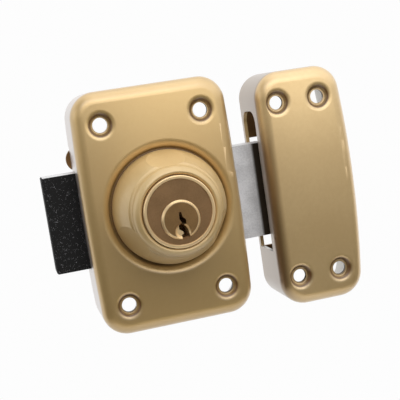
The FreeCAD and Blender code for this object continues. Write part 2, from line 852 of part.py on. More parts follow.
def hub_screw_places():
    return [(side * hub_screw_offset, hub_screw_height) for side in (-1, 1)]


def hub_screw_tip_y():
    return hub_back_y - hub_screw_head_height - hub_screw_length


def knob_hub():
    hub = rod(0, 0, hub_radius, hub_front_y, hub_back_y)
    top, bottom = crank_slot_ends()
    floor_y = hub_front_y + locker_setback + locker_thickness + face_gap
    shoulder_z = -plug_drop - locker_shoulder_drop - lock_travel - face_gap
    side_gap = face_gap
    wide = box(
        -locker_half_width - side_gap, locker_half_width + side_gap, hub_front_y, floor_y,
        shoulder_z, top + locker_wall + face_gap)
    narrow = box(
        -locker_tip_half_width - side_gap, locker_tip_half_width + side_gap, hub_front_y, floor_y,
        -hub_radius, shoulder_z)
    hub = hub.cut(wide).cut(narrow)
    square_half = drive_square / 2 + running_gap
    hub = hub.cut(box(-square_half, square_half, floor_y, hub_back_y, -square_half, square_half))
    for x, z in hub_screw_places():
        hub = hub.cut(rod(x, z, hub_screw_radius + running_gap, hub_front_y, hub_back_y))
        head_room = hub_screw_head_radius + face_gap
        hub = hub.cut(rod(x, z, head_room, hub_back_y - hub_screw_head_height, hub_back_y))
    return hub


def hub_screws():
    return [
        raised_head_screw(
            x, z, hub_screw_radius, hub_screw_head_radius, hub_screw_head_height,
            hub_screw_length, hub_back_y - hub_screw_head_height, 1)
        for x, z in hub_screw_places()
    ]


def keeper_hole_places():
    return rectangle_places(keeper_holes_x, keeper_centre_z, keeper_holes_across, keeper_holes_up)


def keeper_shell():
    def block(inset):
        return pressed_block(
            keeper_centre_x, keeper_centre_z,
            keeper_width - 2 * inset, keeper_height - 2 * inset, case_depth - inset,
            case_corner_radius - inset, case_edge_radius - inset,
            keeper_far_side_bow)

    shell = pressed_shell(block(0.0), block(case_sheet), screw_dishes(keeper_hole_places()))
    for x, z in keeper_hole_places():
        shell = shell.cut(rod(x, z, keeper_hole_radius, case_front_y, 0))
    mouth = box(
        keeper_left_x - case_sheet, keeper_left_x + 2 * case_sheet,
        case_front_y + mouth_front_margin, -mouth_rear_margin,
        bolt_bottom_z - mouth_below_bolt, bolt_top_z + mouth_above_bolt)
    arch_edges = [
        e for e in mouth.Edges
        if e.BoundBox.XLength > case_sheet and e.BoundBox.ZMin > bolt_top_z
    ]
    return shell.cut(mouth.makeFillet(mouth_arch_radius, arch_edges))


def keeper_plate():
    """The strip behind the keeper's mouth side, cut out where the bolt comes in."""
    inset = case_sheet + back_plate_gap
    plate = pressed_block(
        keeper_centre_x, keeper_centre_z, keeper_width - 2 * inset, keeper_height - 2 * inset, case_depth,
        case_corner_radius - inset, case_edge_radius - inset,
        keeper_far_side_bow)
    plate_right_x = keeper_left_x + inset + keeper_plate_width
    plate = plate.common(box(
        keeper_left_x, plate_right_x, -keeper_plate_thickness, 0, -case_height, case_height))
    for x, z in keeper_hole_places():
        plate = plate.cut(rod(x, z, keeper_hole_radius, -case_depth, 0))
    return plate.cut(box(
        keeper_left_x, plate_right_x - keeper_plate_web, -case_depth, 0,
        bolt_bottom_z - plate_cutout_below_bolt, bolt_top_z + plate_cutout_above_bolt))


def make_parts():
    os.makedirs("parts", exist_ok=True)
    write("case_shell", case_shell())
    write("back_plate", case_back_plate())
    write_group("back_plate_pillars", back_plate_pillars())
    write_group("back_plate_screws", back_plate_screws())
    write_group("guide_posts", guide_posts())
    write("bearing_plate", bearing_plate())
    write_group("bearing_plate_screws", bearing_plate_screws())
    write("brake_spring", brake_spring())
    write("bolt_bar", bolt())
    write("drive_pinion", drive_pinion())
    write("knob_shell", knob())
    write("knob_circlip", knob_circlip())
    write("knob_washer", knob_washer())
    write("knob_hub", knob_hub())
    write_group("hub_screws", hub_screws())
    write("cylinder_body", cylinder_body())
    write("spring_cover_strip", spring_cover_strip())
    write_group("driver_pins", driver_pins())
    write_group("pin_springs", pin_springs())
    write("key_plug", key_plug())
    write_group("key_pins", key_pins())
    write("plug_cam", plug_cam())
    write("cam_screw", cam_screw())
    write("locking_bolt", locking_bolt())
    write("keeper_shell", keeper_shell())
    write("keeper_plate", keeper_plate())


make_parts()
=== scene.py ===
import json
import math

import bpy
from bpy.props import FloatProperty, FloatVectorProperty, IntProperty, PointerProperty
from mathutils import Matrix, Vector

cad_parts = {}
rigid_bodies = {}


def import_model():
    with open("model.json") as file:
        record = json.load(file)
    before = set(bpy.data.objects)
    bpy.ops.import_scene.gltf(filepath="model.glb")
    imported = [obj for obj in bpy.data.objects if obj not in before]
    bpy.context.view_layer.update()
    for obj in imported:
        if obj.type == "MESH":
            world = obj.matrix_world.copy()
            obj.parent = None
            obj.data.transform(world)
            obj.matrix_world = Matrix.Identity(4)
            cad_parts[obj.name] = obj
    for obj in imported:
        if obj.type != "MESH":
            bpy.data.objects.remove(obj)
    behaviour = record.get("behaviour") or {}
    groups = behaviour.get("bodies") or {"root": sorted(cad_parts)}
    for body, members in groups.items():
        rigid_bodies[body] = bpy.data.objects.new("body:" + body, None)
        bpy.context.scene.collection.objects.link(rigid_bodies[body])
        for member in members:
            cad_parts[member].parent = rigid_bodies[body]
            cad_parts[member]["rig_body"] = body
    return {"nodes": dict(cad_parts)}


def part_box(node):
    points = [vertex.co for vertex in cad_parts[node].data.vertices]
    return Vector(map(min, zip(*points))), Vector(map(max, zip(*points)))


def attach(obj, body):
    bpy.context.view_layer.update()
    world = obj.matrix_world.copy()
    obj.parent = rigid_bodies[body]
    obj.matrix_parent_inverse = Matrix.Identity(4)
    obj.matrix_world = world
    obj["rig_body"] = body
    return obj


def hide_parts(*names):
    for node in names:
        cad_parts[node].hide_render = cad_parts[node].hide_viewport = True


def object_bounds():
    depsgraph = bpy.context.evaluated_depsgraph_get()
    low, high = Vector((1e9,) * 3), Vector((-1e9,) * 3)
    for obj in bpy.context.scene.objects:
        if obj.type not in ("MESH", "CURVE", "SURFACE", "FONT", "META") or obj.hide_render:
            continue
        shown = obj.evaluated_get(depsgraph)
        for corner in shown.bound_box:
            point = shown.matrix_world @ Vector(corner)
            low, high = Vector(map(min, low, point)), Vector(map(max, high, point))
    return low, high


bl_info = {
    "name": "Security rim deadbolt",
    "version": (1, 0, 0),
    "blender": (4, 5, 0),
    "location": "3D View > Sidebar > Deadbolt",
    "description": "Finishes, pin springs and a plain studio for a rim deadbolt on its packed frame",
    "category": "Object",
}

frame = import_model()
NODES = frame["nodes"]
CAD_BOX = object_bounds()

# Places read from the frame
CASE_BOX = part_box("case_shell")
KEEPER_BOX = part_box("keeper_shell")
CYLINDER_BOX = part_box("cylinder_body")
PLUG_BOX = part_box("key_plug")
CAM_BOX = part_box("plug_cam")
SPRING_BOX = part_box("pin_springs")
PINS = 5

# The middle of each shell's screw holes, in X and Z, and how far apart they are across and up
CASE_HOLES = (-0.0015, 0.0, 0.0329, 0.0588)
KEEPER_HOLES = (0.0481, -0.00175, 0.0144, 0.059)

# The heights between which the keeper's mouth side gets painted shade, where the case shades it
KEEPER_SHADED = (-0.045, 0.024)

# The ways that a face can look, and a length that is beyond any place on the object
FORWARD = (0.0, -1.0, 0.0)
LEFT = (-1.0, 0.0, 0.0)
UP = (0.0, 0.0, 1.0)
FAR = 1.0


def middle(box):
    low, high = box
    return (low + high) / 2


def linear(red, green, blue):
    """A colour as it is seen on a screen, from 0 to 255, as the linear colour that nodes use."""
    shares = [value / 255 for value in (red, green, blue)]
    return tuple(s / 12.92 if s <= 0.04045 else ((s + 0.055) / 1.055) ** 2.4 for s in shares)


def opaque(colour):
    return (*colour[:3], 1.0)


def deeper(colour, share):
    """A colour with only a share of its light."""
    return opaque([share * value for value in colour[:3]])


class FinishSettings(bpy.types.PropertyGroup):
    lacquer: FloatVectorProperty(
        name="Lacquer", description="Gold lacquer on the case and keeper", subtype="COLOR",
        default=linear(214, 180, 118), min=0, max=1)
    lacquer_shade: FloatVectorProperty(
        name="Lacquer shade", description="Deeper tone that clouds the lacquer", subtype="COLOR",
        default=linear(202, 162, 98), min=0, max=1)
    keeper_lacquer: FloatVectorProperty(
        name="Keeper lacquer", description="The keeper's slightly paler gold lacquer", subtype="COLOR",
        default=linear(232, 199, 140), min=0, max=1)
    lacquer_metal: FloatProperty(
        name="Lacquer metal", description="Share of metal flake in the lacquer", subtype="FACTOR",
        default=0.45, min=0, max=1)
    knob_lacquer: FloatVectorProperty(
        name="Knob lacquer", description="The knob's gold lacquer", subtype="COLOR",
        default=linear(214, 184, 128), min=0, max=1)
    knob_metal: FloatProperty(
        name="Knob metal", description="Share of metal flake in the knob's lacquer", subtype="FACTOR",
        default=0.25, min=0, max=1)
    lacquer_roughness: FloatProperty(
        name="Lacquer roughness", description="How satin the case is", subtype="FACTOR",
        default=0.34, min=0, max=1)
    knob_roughness: FloatProperty(
        name="Knob roughness", description="How satin the knob is", subtype="FACTOR",
        default=0.5, min=0, max=1)
    knob_coat: FloatProperty(
        name="Knob clear coat", description="Weight of the knob's clear coat", subtype="FACTOR",
        default=0.6, min=0, max=1)
    coat: FloatProperty(
        name="Clear coat", description="Weight of the shells' clear coat", subtype="FACTOR",
        default=1.0, min=0, max=1)
    coat_index: FloatProperty(
        name="Clear coat index", description="Refractive index of the clear coat", default=1.78, min=1)
    coat_roughness: FloatProperty(
        name="Clear coat roughness", description="How satin the clear coat is", subtype="FACTOR",
        default=0.3, min=0, max=1)
    even_tilt: FloatProperty(
        name="Dome", description="Tilt that the fronts gain steadily from middle to side",
        subtype="ANGLE", default=0.12)
    edge_tilt: FloatProperty(
        name="Dome at the edge", description="Tilt that the fronts gain near their sides",
        subtype="ANGLE", default=0.06)
    # Painted shade in the dishes: a dark ring in each screw dish, and shade deepening to the knob's foot.
    dish_painted_shade: FloatVectorProperty(
        name="Dish tone", description="Deeper lacquer gathered at the bottom of the dishes",
        subtype="COLOR", default=linear(112, 78, 40), min=0, max=1)
    # Painted shade on the keeper's left side, where the case shades it.
    side_painted_shade: FloatVectorProperty(
        name="Side tone", description="Browner lacquer on the keeper's mouth side", subtype="COLOR",
        default=linear(130, 98, 56), min=0, max=1)
    # Paler case wall tone: thin lacquer, with painted reflection of the pale surroundings.
    case_wall_tone_and_reflection: FloatVectorProperty(
        name="Case walls", description="Thin lacquer on the case's side walls, over the zinc",
        subtype="COLOR", default=linear(206, 192, 182), min=0, max=1)
    # Darker keeper wall tone: thin lacquer, with painted shade where the case shades the keeper.
    keeper_wall_tone_and_shade: FloatVectorProperty(
        name="Keeper walls", description="Thin lacquer on the keeper's side walls, over the steel",
        subtype="COLOR", default=linear(158, 136, 110), min=0, max=1)
    # Painted light inside a shell near its open back, near white.
    inside_painted_light: FloatVectorProperty(
        name="Inside, near the rim", description="Overspray inside a shell, near its open back",
        subtype="COLOR", default=linear(250, 247, 241), min=0, max=1)
    inside_dark: FloatVectorProperty(
        name="Inside, deep", description="Bare sheet inside a shell, behind its front", subtype="COLOR",
        default=linear(78, 60, 38), min=0, max=1)
    plate_lacquer: FloatVectorProperty(
        name="Plate lacquer", description="Brown lacquer on the flat plates", subtype="COLOR",
        default=linear(150, 112, 68), min=0, max=1)
    cylinder_brass: FloatVectorProperty(
        name="Cylinder brass", description="Dulled brass of the cylinder's face", subtype="COLOR",
        default=linear(163, 128, 90), min=0, max=1)
    bright_brass: FloatVectorProperty(
        name="Bright brass", description="Turned brass of rims and of the keyway's mouth", subtype="COLOR",
        default=linear(250, 218, 166), min=0, max=1)
    plug_brass: FloatVectorProperty(
        name="Plug brass", description="Brass of the plug's face", subtype="COLOR",
        default=linear(164, 128, 84), min=0, max=1)
    zinc: FloatVectorProperty(
        name="Zinc plate", description="Plated steel of the bolt's nose", subtype="COLOR",
        default=linear(250, 250, 252), min=0, max=1)
    # Painted dark reflection on the bolt's tail, on all its faces but the top.
    tail_dark_reflection: FloatVectorProperty(
        name="Black finish", description="Blackened steel of the bolt's tail", subtype="COLOR",
        default=linear(8, 7, 7), min=0, max=1)
    # Painted shade on the front of the nose's tip, inside the keeper's mouth.
    nose_painted_shade: FloatVectorProperty(
        name="Tip finish", description="Brown black on the front of the nose's tip", subtype="COLOR",
        default=linear(54, 44, 32), min=0, max=1)
    steel: FloatVectorProperty(
        name="Plain steel", description="Bare steel of the inner works", subtype="COLOR",
        default=linear(188, 188, 192), min=0, max=1)
    # Where the painted dark reflection on the tail ends.
    tail_reflection_end: FloatProperty(
        name="Black finish end", description="Place along the bolt where the tail's black finish ends",
        default=-0.006, unit="LENGTH")
    # Where the painted shade on the nose's front starts.
    nose_shade_start: FloatProperty(
        name="Black finish start", description="Place along the bolt where the nose's black finish starts",
        default=0.0325, unit="LENGTH")


class SpringSettings(bpy.types.PropertyGroup):
    wire: FloatProperty(
        name="Wire", description="Thickness of the spring wire", default=0.0003, min=0.0001, unit="LENGTH")
    turns: IntProperty(name="Turns", description="Turns in each pin spring", default=7, min=2)


class StudioSettings(bpy.types.PropertyGroup):
    camera_place: FloatVectorProperty(
        name="Camera place", description="Where the camera stands", subtype="TRANSLATION",
        default=(-0.05102, -0.29986, 0.03744))
    camera_turn: FloatVectorProperty(
        name="Camera turn", description="The camera's rotation", subtype="EULER",
        default=(math.radians(82.518), math.radians(8.528), math.radians(-13.540)))
    lens: FloatProperty(
        name="Lens", description="Focal length in millimetres", default=79.28, min=1, unit="CAMERA")
    white: FloatProperty(
        name="White", description="Level of the background that the camera sees", default=0.982, min=0)
    floor_pale: FloatVectorProperty(
        name="Floor", description="The pale floor", subtype="COLOR",
        default=linear(236, 235, 232), min=0, max=1)
    floor_tone: FloatVectorProperty(
        name="Floor tone", description="Second tone that clouds the floor", subtype="COLOR",
        default=linear(226, 225, 222), min=0, max=1)
    floor_unseen: FloatVectorProperty(
        name="Floor's light", description="Colour of the floor where it only lights the object",
        subtype="COLOR", default=linear(126, 120, 110), min=0, max=1)
    floor_height: FloatProperty(
        name="Floor height", description="Height of the floor", default=-0.3, unit="LENGTH")
    floor_radius: FloatProperty(
        name="Floor radius", description="Radius of the floor", default=0.32, unit="LENGTH")
    front_power: FloatProperty(
        name="Front", description="Power of the softbox in front at the right", default=1.0, unit="POWER")
    high_power: FloatProperty(
        name="High", description="Power of the softbox high in front", default=3.3, unit="POWER")
    top_power: FloatProperty(
        name="Top", description="Power of the softbox overhead", default=1.2, unit="POWER")
    left_power: FloatProperty(
        name="Left", description="Power of the softbox at the left", default=0.8, unit="POWER")
    behind_high: FloatProperty(
        name="Behind, high", description="Light from the backdrop above, on the object", default=0.9, min=0)
    behind_low: FloatProperty(
        name="Behind, low", description="Light from the backdrop below, on the object", default=0.55, min=0)
    around_left: FloatProperty(
        name="Around, left", description="Light from the room in front at the left", default=0.4, min=0)
    around_right: FloatProperty(
        name="Around, right", description="Light from the room in front at the right", default=1.5, min=0)


# The Mix node's colour sockets, by place, because their names are shared with its sockets for other values
MIX_SHARE, MIX_FIRST, MIX_SECOND = 0, 6, 7
MIX_RESULT = 2


class Graph:
    """Adds nodes to a tree and feeds their sockets with values or with other sockets."""

    def __init__(self, tree):
        self.tree = tree

    def add(self, kind, inputs=None, **settings):
        made = self.tree.nodes.new(kind)
        for name, value in settings.items():
            setattr(made, name, value)
        for name, value in (inputs or {}).items():
            self.feed(made.inputs[name], value)
        return made

    def feed(self, socket, value):
        if isinstance(value, bpy.types.NodeSocket):
            self.tree.links.new(value, socket)
        else:
            socket.default_value = value

    def math(self, operation, *values, clamp=False):
        made = self.add("ShaderNodeMath", operation=operation, use_clamp=clamp)
        for socket, value in zip(made.inputs, values):
            self.feed(socket, value)
        return made.outputs[0]

    def vector(self, operation, *values):
        """The outputs of a vector math node."""
        made = self.add("ShaderNodeVectorMath", operation=operation)
        for socket, value in zip(made.inputs, values):
            self.feed(socket, value)
        return made.outputs

    def parts(self, vector):
        """The X, Y and Z of a vector."""
        return self.add("ShaderNodeSeparateXYZ", {"Vector": vector}).outputs

    def reach(self, first, second):
        """How far off a place is, from how far it is along two axes."""
        squares = self.math("ADD", self.math("POWER", first, 2.0), self.math("POWER", second, 2.0))
        return self.math("SQRT", squares)

    def spread(self, value, from_low, from_high, to_low=0.0, to_high=1.0, smooth=True):
        """A value moved from one range to another, and kept inside it."""
        inputs = {
            "Value": value, "From Min": from_low, "From Max": from_high, "To Min": to_low, "To Max": to_high}
        kind = "SMOOTHSTEP" if smooth else "LINEAR"
        return self.add("ShaderNodeMapRange", inputs, interpolation_type=kind).outputs["Result"]

    def blend(self, share, first, second):
        """A colour between two others. Node sockets and plain colours both do."""
        made = self.add("ShaderNodeMix", data_type="RGBA")
        self.feed(made.inputs[MIX_SHARE], share)
        self.feed(made.inputs[MIX_FIRST], first)
        self.feed(made.inputs[MIX_SECOND], second)
        return made.outputs[MIX_RESULT]

    def noise(self, vector, scale, detail=2.0, roughness=0.5):
        made = self.add(
            "ShaderNodeTexNoise",
            {"Vector": vector, "Scale": scale, "Detail": detail, "Roughness": roughness})
        return made.outputs["Fac"]

    def group(self, tree, inputs):
        made = self.add("ShaderNodeGroup", node_tree=tree)
        for name, value in inputs.items():
            self.feed(made.inputs[name], value)
        return made.outputs


def new_group(name, inputs, outputs):
    """An empty node group with named sockets: its tree, its inputs and a function that ends it."""
    tree = bpy.data.node_groups.new(name, "ShaderNodeTree")
    for label, kind, default in inputs:
        socket = tree.interface.new_socket(label, in_out="INPUT", socket_type=kind)
        if default is not None:
            socket.default_value = default
    for label, kind in outputs:
        tree.interface.new_socket(label, in_out="OUTPUT", socket_type=kind)
    graph = Graph(tree)
    given = graph.add("NodeGroupInput").outputs
    result = graph.add("NodeGroupOutput").inputs
    return tree, graph, given, result


FLOAT = "NodeSocketFloat"
VECTOR = "NodeSocketVector"
COLOUR = "NodeSocketColor"


def mottle_group():
    """Clouds a base colour with a second tone, coarsely and finely."""
    tree, graph, given, result = new_group(
        "Fine Mottle",
        [("Vector", VECTOR, None), ("Base", COLOUR, None), ("Tone", COLOUR, None),
         ("Amount", FLOAT, 0.5), ("Scale", FLOAT, 60.0)],
        [("Color", COLOUR)])
    times_finer = 14.0
    coarse_share = 0.6
    thin, thick = 0.35, 0.65
    coarse = graph.noise(given["Vector"], given["Scale"], detail=3.0)
    fine_scale = graph.math("MULTIPLY", given["Scale"], times_finer)
    fine = graph.noise(given["Vector"], fine_scale, detail=4.0, roughness=0.65)
    coarse = graph.math("MULTIPLY", coarse, coarse_share)
    fine = graph.math("MULTIPLY", fine, 1.0 - coarse_share)
    clouds = graph.spread(graph.math("ADD", coarse, fine), thin, thick)
    share = graph.math("MULTIPLY", clouds, given["Amount"])
    graph.feed(result["Color"], graph.blend(share, given["Base"], given["Tone"]))
    return tree


def grain_group():
    """Fine surface grain: a height for a bump, and a roughness that wavers about its own."""
    tree, graph, given, result = new_group(
        "Surface Grain",
        [("Vector", VECTOR, None), ("Stretch", VECTOR, (1.0, 1.0, 1.0)), ("Scale", FLOAT, 1500.0),
         ("Roughness", FLOAT, 0.4), ("Wander", FLOAT, 0.06)],
        [("Height", FLOAT), ("Roughness", FLOAT)])
    patch_share = 0.06
    stretched = graph.vector("MULTIPLY", given["Vector"], given["Stretch"])["Vector"]
    grain = graph.noise(stretched, given["Scale"], detail=3.0, roughness=0.6)
    patch_scale = graph.math("MULTIPLY", given["Scale"], patch_share)
    patches = graph.noise(stretched, patch_scale, detail=3.0)
    drift = graph.math("MULTIPLY", graph.math("SUBTRACT", patches, 0.5), given["Wander"])
    graph.feed(result["Height"], grain)
    graph.feed(result["Roughness"], graph.math("ADD", given["Roughness"], drift, clamp=True))
    return tree


def rings_group():
    """Fine turning marks in rings about an axis that runs along Y, and the radius from that axis."""
    tree, graph, given, result = new_group(
        "Tool Rings",
        [("Vector", VECTOR, None), ("Axis X", FLOAT, 0.0), ("Axis Z", FLOAT, 0.0),
         ("Pitch", FLOAT, 0.0002)],
        [("Height", FLOAT), ("Radius", FLOAT)])
    parts = graph.parts(given["Vector"])
    across = graph.math("SUBTRACT", parts["X"], given["Axis X"])
    up = graph.math("SUBTRACT", parts["Z"], given["Axis Z"])
    radius = graph.reach(across, up)
    turns = graph.math("DIVIDE", radius, given["Pitch"])
    line = graph.add("ShaderNodeTexNoise", {"W": turns, "Scale": 1.0, "Detail": 2.0}, noise_dimensions="1D")
    graph.feed(result["Height"], line.outputs["Fac"])
    graph.feed(result["Radius"], radius)
    return tree


def band_group():
    """A soft-edged mask between two limits."""
    tree, graph, given, result = new_group(
        "Band Mask",
        [("Value", FLOAT, 0.0), ("Low", FLOAT, 0.0), ("High", FLOAT, 1.0), ("Softness", FLOAT, 0.0002)],
        [("Mask", FLOAT)])
    above = graph.math("SUBTRACT", given["Value"], given["Low"])
    below = graph.math("SUBTRACT", given["High"], given["Value"])
    nearest = graph.math("MINIMUM", above, below)
    graph.feed(result["Mask"], graph.spread(nearest, 0.0, given["Softness"]))
    return tree


def facing_group():
    """A mask for the faces that look one way in the object's own space."""
    tree, graph, given, result = new_group(
        "Facing Mask",
        [("Normal", VECTOR, None), ("Direction", VECTOR, FORWARD), ("Limit", FLOAT, 0.7),
         ("Reach", FLOAT, 0.25)],
        [("Mask", FLOAT)])
    closeness = graph.vector("DOT_PRODUCT", given["Normal"], given["Direction"])["Value"]
    near = graph.math("ADD", given["Limit"], given["Reach"])
    graph.feed(result["Mask"], graph.spread(closeness, given["Limit"], near))
    return tree


def specks_group():
    """Scattered specks of uneven size."""
    tree, graph, given, result = new_group(
        "Specks",
        [("Vector", VECTOR, None), ("Scale", FLOAT, 1500.0), ("Size", FLOAT, 0.25)],
        [("Mask", FLOAT)])
    patch_share = 0.3
    softness = 0.08
    sparse, dense = 0.4, 0.7
    cells = graph.add("ShaderNodeTexVoronoi", {"Vector": given["Vector"], "Scale": given["Scale"]})
    patches = graph.noise(given["Vector"], graph.math("MULTIPLY", given["Scale"], patch_share), detail=2.0)
    radius = graph.math("MULTIPLY", given["Size"], graph.spread(patches, sparse, dense))
    core = graph.math("SUBTRACT", radius, cells.outputs["Distance"])
    graph.feed(result["Mask"], graph.spread(core, 0.0, softness))
    return tree


def inside_group():
    """A mask for the faces that look into a shell on the door, and how near they are to its rim."""
    tree, graph, given, result = new_group(
        "Hollow Inside",
        [("Vector", VECTOR, None), ("Normal", VECTOR, None), ("Centre", VECTOR, (0.0, 0.0, 0.0)),
         ("Rim", FLOAT, -0.009), ("Deep", FLOAT, -0.013)],
        [("Mask", FLOAT), ("Near Rim", FLOAT)])
    forward = -0.1
    outward = graph.parts(graph.vector("SUBTRACT", given["Vector"], given["Centre"])["Vector"])
    ray = graph.add("ShaderNodeCombineXYZ", {"X": outward["X"], "Y": forward, "Z": outward["Z"]})
    closeness = graph.vector("DOT_PRODUCT", ray.outputs["Vector"], given["Normal"])["Value"]
    graph.feed(result["Mask"], graph.math("LESS_THAN", closeness, 0.0))
    depth = graph.parts(given["Vector"])["Y"]
    graph.feed(result["Near Rim"], graph.spread(depth, given["Deep"], given["Rim"]))
    return tree


def sunk_group():
    """A mask for painted shade: a ring in each of four screw dishes in a rectangle, and a shade that deepens
    to the knob's foot.
    """
    tree, graph, given, result = new_group(
        "Dish Shade",
        [("Vector", VECTOR, None), ("Centre X", FLOAT, 0.0), ("Centre Z", FLOAT, 0.0),
         ("Half Across", FLOAT, 0.016), ("Half Up", FLOAT, 0.029), ("Mouth", FLOAT, 0.0042),
         ("Ring", FLOAT, 0.0035), ("Floor", FLOAT, 0.0028), ("Floor Share", FLOAT, 0.35),
         ("Knob Mouth", FLOAT, 0.0208), ("Knob Foot", FLOAT, 0.0186)],
        [("Mask", FLOAT)])
    parts = graph.parts(given["Vector"])

    def from_hole(place, centre, half):
        offset = graph.math("ABSOLUTE", graph.math("SUBTRACT", place, centre))
        return graph.math("SUBTRACT", offset, half)

    hole = graph.reach(
        from_hole(parts["X"], given["Centre X"], given["Half Across"]),
        from_hole(parts["Z"], given["Centre Z"], given["Half Up"]))
    ring = graph.math(
        "MULTIPLY", graph.spread(hole, given["Mouth"], given["Ring"]),
        graph.spread(hole, given["Floor"], given["Ring"], given["Floor Share"]))
    knob = graph.reach(parts["X"], parts["Z"])
    # Painted shade, darkest at the knob's foot and fading outward.
    shade = graph.math("POWER", graph.spread(knob, given["Knob Mouth"], given["Knob Foot"]), 2.0)
    graph.feed(result["Mask"], graph.math("MAXIMUM", ring, shade))
    return tree


def crown_group():
    """The normal of a front pressed slightly domed, flat in the middle and falling off to its sides."""
    tree, graph, given, result = new_group(
        "Domed Front",
        [("Vector", VECTOR, None), ("Normal", VECTOR, None), ("Centre", VECTOR, (0.0, 0.0, 0.0)),
         ("Half Width", FLOAT, 0.025), ("Half Height", FLOAT, 0.04), ("Even Tilt", FLOAT, 0.03),
         ("Edge Tilt", FLOAT, 0.06)],
        [("Normal", VECTOR)])
    outward = graph.parts(graph.vector("SUBTRACT", given["Vector"], given["Centre"])["Vector"])

    def tilt(distance, half):
        share = graph.math("DIVIDE", distance, half)
        even = graph.math("MULTIPLY", share, given["Even Tilt"])
        edge = graph.math("MULTIPLY", graph.math("POWER", share, 3.0), given["Edge Tilt"])
        return graph.math("ADD", even, edge)

    leaning = graph.add("ShaderNodeCombineXYZ", {
        "X": tilt(outward["X"], given["Half Width"]), "Z": tilt(outward["Z"], given["Half Height"])})
    on_wall, on_front = -0.3, -0.95
    share = graph.spread(graph.parts(given["Normal"])["Y"], on_wall, on_front)
    added = graph.vector("MULTIPLY", leaning.outputs["Vector"], share)["Vector"]
    world = graph.add(
        "ShaderNodeVectorTransform", {"Vector": graph.vector("ADD", given["Normal"], added)["Vector"]},
        vector_type="NORMAL", convert_from="OBJECT", convert_to="WORLD")
    graph.feed(result["Normal"], world.outputs["Vector"])
    return tree


GROUPS = {}


def shared(maker):
    """The node group that a maker builds, built once."""
    if maker not in GROUPS:
        GROUPS[maker] = maker()
    return GROUPS[maker]


class Finish:
    """One material with its shader and its place in the object's own space."""

    def __init__(self, name):
        self.material = bpy.data.materials.new(name)
        self.material.use_nodes = True
        self.graph = Graph(self.material.node_tree)
        self.shader = self.material.node_tree.nodes["Principled BSDF"]
        place = self.graph.add("ShaderNodeTexCoord").outputs
        self.place = place["Object"]
        self.normal = place["Normal"]

    def set(self, **inputs):
        """Sets shader sockets. An underscore in a name stands for a space."""
        for name, value in inputs.items():
            self.graph.feed(self.shader.inputs[name.replace("_", " ")], value)

    def source(self, name):
        """The output that feeds one of the shader's sockets."""
        return self.shader.inputs[name].links[0].from_socket

    def inside(self, centre):
        return self.graph.group(
            shared(inside_group), {"Vector": self.place, "Normal": self.normal, "Centre": centre})

    def dish_shade_mask(self, centre_x, centre_z, across, up):
        return self.graph.group(
            shared(sunk_group),
            {"Vector": self.place, "Centre X": centre_x, "Centre Z": centre_z, "Half Across": across / 2,
             "Half Up": up / 2})["Mask"]

    def crown(self, box, even_tilt, edge_tilt):
        low, high = box
        half = (high - low) / 2
        return self.graph.group(
            shared(crown_group),
            {"Vector": self.place, "Normal": self.normal, "Centre": middle(box), "Half Width": half.x,
             "Half Height": half.z, "Even Tilt": even_tilt, "Edge Tilt": edge_tilt})["Normal"]

    def mottle(self, base, tone, amount, scale):
        return self.graph.group(
            shared(mottle_group),
            {"Vector": self.place, "Base": base, "Tone": tone, "Amount": amount, "Scale": scale})["Color"]

    def grain(self, roughness, wander, scale, stretch=(1.0, 1.0, 1.0)):
        return self.graph.group(
            shared(grain_group),
            {"Vector": self.place, "Stretch": stretch, "Scale": scale, "Roughness": roughness,
             "Wander": wander})

    def rings(self, x, z, pitch):
        return self.graph.group(
            shared(rings_group), {"Vector": self.place, "Axis X": x, "Axis Z": z, "Pitch": pitch})

    def band(self, value, low, high, softness):
        return self.graph.group(
            shared(band_group), {"Value": value, "Low": low, "High": high, "Softness": softness})["Mask"]

    def facing(self, direction, limit=0.7, reach=0.25):
        return self.graph.group(
            shared(facing_group),
            {"Normal": self.normal, "Direction": direction, "Limit": limit, "Reach": reach})["Mask"]

    def specks(self, scale, size):
        return self.graph.group(
            shared(specks_group), {"Vector": self.place, "Scale": scale, "Size": size})["Mask"]

    def bump(self, height, depth, under=None):
        """The surface's normal with a height of some depth on it, over another normal if one is given."""
        inputs = {"Height": height, "Distance": depth}
        if under is not None:
            inputs["Normal"] = under
        return self.graph.add("ShaderNodeBump", inputs).outputs["Normal"]


def paint(names, material):
    for name in names:
        for slot in NODES[name].material_slots:
            slot.material = material


def lacquered(name, settings, base, metal, roughness, box=None):
    """Satin gold lacquer, faintly orange peeled, under a clear coat. A box gives it a domed front."""
    finish = Finish(name)
    colour = finish.mottle(opaque(base), opaque(settings.lacquer_shade), amount=0.25, scale=45.0)
    grain = finish.grain(roughness, wander=0.05, scale=2600.0)
    domed = finish.crown(box, settings.even_tilt, settings.edge_tilt) if box else None
    finish.set(
        Base_Color=colour, Metallic=metal, Roughness=grain["Roughness"],
        Normal=finish.bump(grain["Height"], depth=0.000006, under=domed), Coat_Weight=settings.coat,
        Coat_Roughness=settings.coat_roughness, Coat_IOR=settings.coat_index)
    return finish


def left_side(finish, low, high):
    """The faces that look to the left, between two heights."""
    up = finish.graph.parts(finish.place)["Z"]
    band = finish.band(up, low, high, softness=0.014)
    return finish.graph.math("MULTIPLY", band, finish.facing(LEFT, limit=0.0, reach=0.8))


